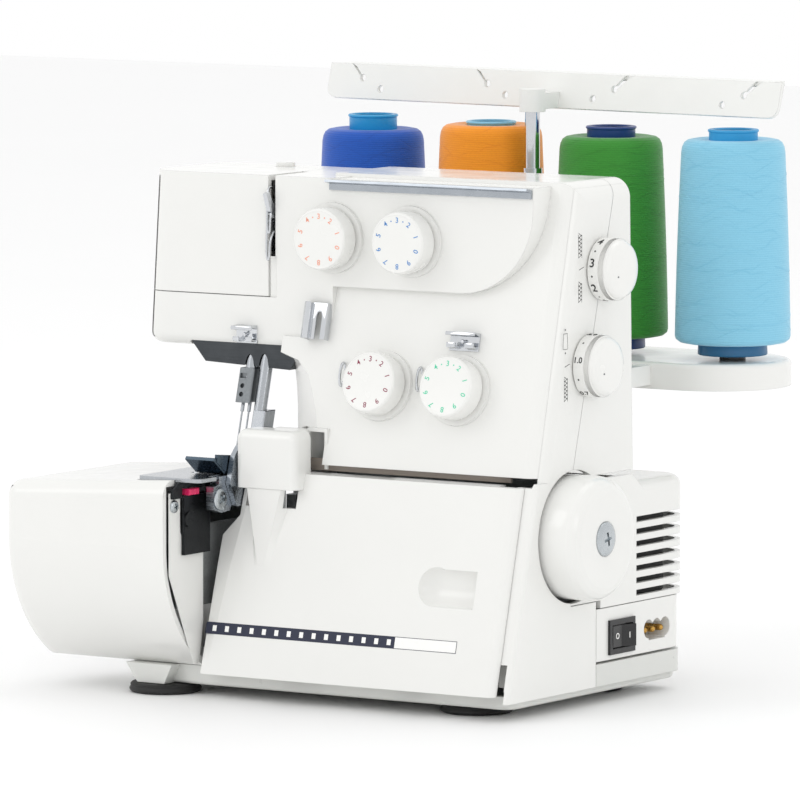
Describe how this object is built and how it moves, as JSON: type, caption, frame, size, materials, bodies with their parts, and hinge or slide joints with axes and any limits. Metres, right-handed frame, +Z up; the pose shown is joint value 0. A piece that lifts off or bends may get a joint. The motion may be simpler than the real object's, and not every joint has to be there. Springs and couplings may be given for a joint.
{
  "type": "overlock sewing machine",
  "caption": "Domestic overlock sewing machine with a rear thread stand, coloured cones of thread, tension dials, an opening looper cover and a handwheel on its right side.",
  "frame": {"origin": "bottom centre of the whole machine's box, on the table", "axes": "+X to the operator's right (handwheel side), +Y away from the operator (towards the thread stand), +Z up"},
  "size_m": [0.335, 0.287, 0.318],
  "materials": {
    "white_plastic": "glossy moulded ABS",
    "satin_white_plastic": "satin moulded plastic",
    "dial_plastic": "glossy white knobs with printed digits",
    "black_plastic": "satin black",
    "grey_plastic": "satin grey",
    "pink_plastic": "pink knob",
    "rubber": "moulded rubber feet",
    "belt_rubber": "toothed belt",
    "brass": "turned contact pins",
    "steel": "ground steel",
    "dark_steel": "blackened steel",
    "chrome": "polished plating",
    "zinc": "zinc plated screws",
    "cast_alloy": "cast alloy",
    "black_metal": "blackened bracket",
    "motor_paint": "enamelled motor case",
    "blue_thread": "cross-wound polyester thread",
    "orange_thread": "cross-wound polyester thread",
    "green_thread": "cross-wound polyester thread",
    "sky_thread": "cross-wound polyester thread"
  },
  "bodies": {
    "body": {"front_cover": "white_plastic", "rear_cover": "white_plastic", "face_cover": "white_plastic", "belt_cover": "white_plastic", "terminal_box": "white_plastic", "base_tray": "white_plastic", "end_plate": "white_plastic", "spool_stand": "satin_white_plastic", "inlet_pins": "brass", "switch_bezel": "black_plastic", "rubber_feet": "rubber", "spool_pins": "satin_white_plastic", "mast_tube": "chrome", "tension_discs": "steel", "motor": "motor_paint", "timing_belt": "belt_rubber", "needle_plate": "chrome", "arm_sole_plate": "cast_alloy", "bed_frame": "cast_alloy", "knife_bracket": "black_metal", "lower_knife": "steel", "looper_guard": "grey_plastic", "chassis_frame": "cast_alloy", "guide_strip": "steel", "small_thread_guides": "chrome", "cover_screws": "zinc"},
    "mast": {"mast_rod": "chrome"},
    "guide_bar": {"thread_guide_bar": "satin_white_plastic"},
    "cone_1": {"thread_cone_1": "blue_thread"},
    "cone_2": {"thread_cone_2": "orange_thread"},
    "cone_3": {"thread_cone_3": "green_thread"},
    "cone_4": {"thread_cone_4": "sky_thread"},
    "drive": {"handwheel": "white_plastic", "handwheel_screw": "zinc", "main_shaft": "steel", "drive_pulley": "black_plastic"},
    "motor_drive": {"motor_pulley": "steel"},
    "needle_carrier": {"needle_bar": "steel", "needle_clamp": "steel", "needles": "chrome"},
    "presser": {"presser_bar": "steel", "presser_foot": "chrome"},
    "lifter": {"presser_lifter": "white_plastic"},
    "feeder": {"feed_dog": "steel"},
    "cutter": {"upper_knife": "dark_steel"},
    "looper_low": {"lower_looper": "chrome"},
    "looper_high": {"upper_looper": "chrome"},
    "take_up": {"take_up_lever": "chrome"},
    "dial_1": {"tension_dial_1": "dial_plastic"},
    "dial_2": {"tension_dial_2": "dial_plastic"},
    "dial_3": {"tension_dial_3": "dial_plastic"},
    "dial_4": {"tension_dial_4": "dial_plastic"},
    "length_dial": {"stitch_length_dial": "dial_plastic"},
    "feed_dial": {"differential_dial": "dial_plastic"},
    "pressure": {"pressure_screw": "grey_plastic"},
    "cover_slide": {"hinge_rod": "steel"},
    "front_door": {"looper_cover": "white_plastic"},
    "side_door": {"side_cover": "white_plastic"},
    "finger_knob": {"stitch_finger_knob": "pink_plastic"},
    "rocker": {"power_rocker": "black_plastic"}
  },
  "joints": [
    {"name": "mast_slide", "type": "slide", "parent": "body", "child": "mast", "axis": [0, 0, 1], "range_m": [0, 0.06]},
    {"name": "guide_bar_turn", "type": "hinge", "parent": "mast", "child": "guide_bar", "pos_m": [0.01745, 0.083, 0.305], "axis": [0, 0, 1], "range_deg": [-85, 85]},
    {"name": "cone_1_spin", "type": "hinge", "parent": "body", "child": "cone_1", "pos_m": [-0.09595, 0.1015, 0.2], "axis": [0, 0, 1], "continuous": true},
    {"name": "cone_2_spin", "type": "hinge", "parent": "body", "child": "cone_2", "pos_m": [-0.02035, 0.1015, 0.2], "axis": [0, 0, 1], "continuous": true},
    {"name": "cone_3_spin", "type": "hinge", "parent": "body", "child": "cone_3", "pos_m": [0.05525, 0.1015, 0.2], "axis": [0, 0, 1], "continuous": true},
    {"name": "cone_4_spin", "type": "hinge", "parent": "body", "child": "cone_4", "pos_m": [0.13085, 0.1015, 0.2], "axis": [0, 0, 1], "continuous": true},
    {"name": "handwheel_turn", "type": "hinge", "parent": "body", "child": "drive", "pos_m": [0.12745, -0.051, 0.09], "axis": [1, 0, 0], "continuous": true},
    {"name": "motor_turn", "type": "hinge", "parent": "body", "child": "motor_drive", "pos_m": [0.10145, 0.033, 0.082], "axis": [1, 0, 0], "continuous": true},
    {"name": "needle_stroke", "type": "slide", "parent": "body", "child": "needle_carrier", "axis": [0, 0.2588, 0.9659], "range_m": [-0.02, 0]},
    {"name": "presser_lift", "type": "hinge", "parent": "body", "child": "lifter", "pos_m": [-0.05455, -0.003, 0.199], "axis": [1, 0, 0], "range_deg": [0, 36]},
    {"name": "presser_slide", "type": "slide", "parent": "body", "child": "presser", "axis": [0, 0.2588, 0.9659], "range_m": [0, 0.006]},
    {"name": "feed_motion", "type": "slide", "parent": "body", "child": "feeder", "axis": [0, 1, 0], "range_m": [-0.002, 0.002]},
    {"name": "knife_stroke", "type": "slide", "parent": "body", "child": "cutter", "axis": [0, 0, 1], "range_m": [-0.006, 0]},
    {"name": "lower_looper_swing", "type": "hinge", "parent": "body", "child": "looper_low", "pos_m": [-0.04955, -0.075, 0.044], "axis": [0, 1, 0], "range_deg": [-1, 21]},
    {"name": "upper_looper_swing", "type": "hinge", "parent": "body", "child": "looper_high", "pos_m": [0.00145, -0.084, 0.066], "axis": [0, 1, 0], "range_deg": [-1, 18]},
    {"name": "take_up_swing", "type": "hinge", "parent": "body", "child": "take_up", "pos_m": [-0.04855, -0.027, 0.236], "axis": [1, 0, 0], "range_deg": [-1, 18]},
    {"name": "tension_1_turn", "type": "hinge", "parent": "body", "child": "dial_1", "pos_m": [-0.01005, -0.067, 0.2395], "axis": [0, -1, 0], "range_deg": [-216, 108]},
    {"name": "tension_2_turn", "type": "hinge", "parent": "body", "child": "dial_2", "pos_m": [0.03845, -0.067, 0.2395], "axis": [0, -1, 0], "range_deg": [-216, 108]},
    {"name": "tension_3_turn", "type": "hinge", "parent": "body", "child": "dial_3", "pos_m": [0.02495, -0.07446, 0.1645], "axis": [0, -0.9731, 0.2305], "range_deg": [-216, 108]},
    {"name": "tension_4_turn", "type": "hinge", "parent": "body", "child": "dial_4", "pos_m": [0.07245, -0.07446, 0.1645], "axis": [0, -0.9731, 0.2305], "range_deg": [-216, 108]},
    {"name": "stitch_length_turn", "type": "hinge", "parent": "body", "child": "length_dial", "pos_m": [0.12745, -0.02371, 0.2265], "axis": [1, 0, 0], "range_deg": [-45, 90]},
    {"name": "differential_turn", "type": "hinge", "parent": "body", "child": "feed_dial", "pos_m": [0.12745, -0.03739, 0.1775], "axis": [1, 0, 0], "range_deg": [-110, 45]},
    {"name": "pressure_turn", "type": "hinge", "parent": "body", "child": "pressure", "pos_m": [-0.07955, -0.008, 0.262], "axis": [0, 0, 1], "range_deg": [-180, 180]},
    {"name": "looper_cover_slide", "type": "slide", "parent": "body", "child": "cover_slide", "axis": [1, 0, 0], "range_m": [0, 0.003]},
    {"name": "looper_cover_drop", "type": "hinge", "parent": "cover_slide", "child": "front_door", "pos_m": [0.01745, -0.1105, 0.019], "axis": [1, 0, 0], "range_deg": [0, 70]},
    {"name": "side_cover_swing", "type": "hinge", "parent": "body", "child": "side_door", "pos_m": [-0.16155, -0.031, 0.08], "axis": [0, 0, -1], "range_deg": [0, 88]},
    {"name": "finger_knob_slide", "type": "slide", "parent": "body", "child": "finger_knob", "axis": [0, 1, 0], "range_m": [0, 0.008]},
    {"name": "rocker_tilt", "type": "hinge", "parent": "body", "child": "rocker", "pos_m": [0.12645, -0.005, 0.034], "axis": [0, 0, 1], "range_deg": [0, 16]}
  ],
  "couplings": [
    {"joint": "motor_turn", "follows": "handwheel_turn", "ratio": 4},
    {"joint": "presser_lift", "follows": "presser_slide", "rad_per_m": 104.72},
    {"joint": "feed_motion", "follows": "needle_stroke", "ratio": 0.1},
    {"joint": "knife_stroke", "follows": "needle_stroke", "ratio": 0.25},
    {"joint": "lower_looper_swing", "follows": "needle_stroke", "rad_per_m": -17},
    {"joint": "upper_looper_swing", "follows": "needle_stroke", "rad_per_m": -15},
    {"joint": "take_up_swing", "follows": "needle_stroke", "rad_per_m": -15}
  ]
}
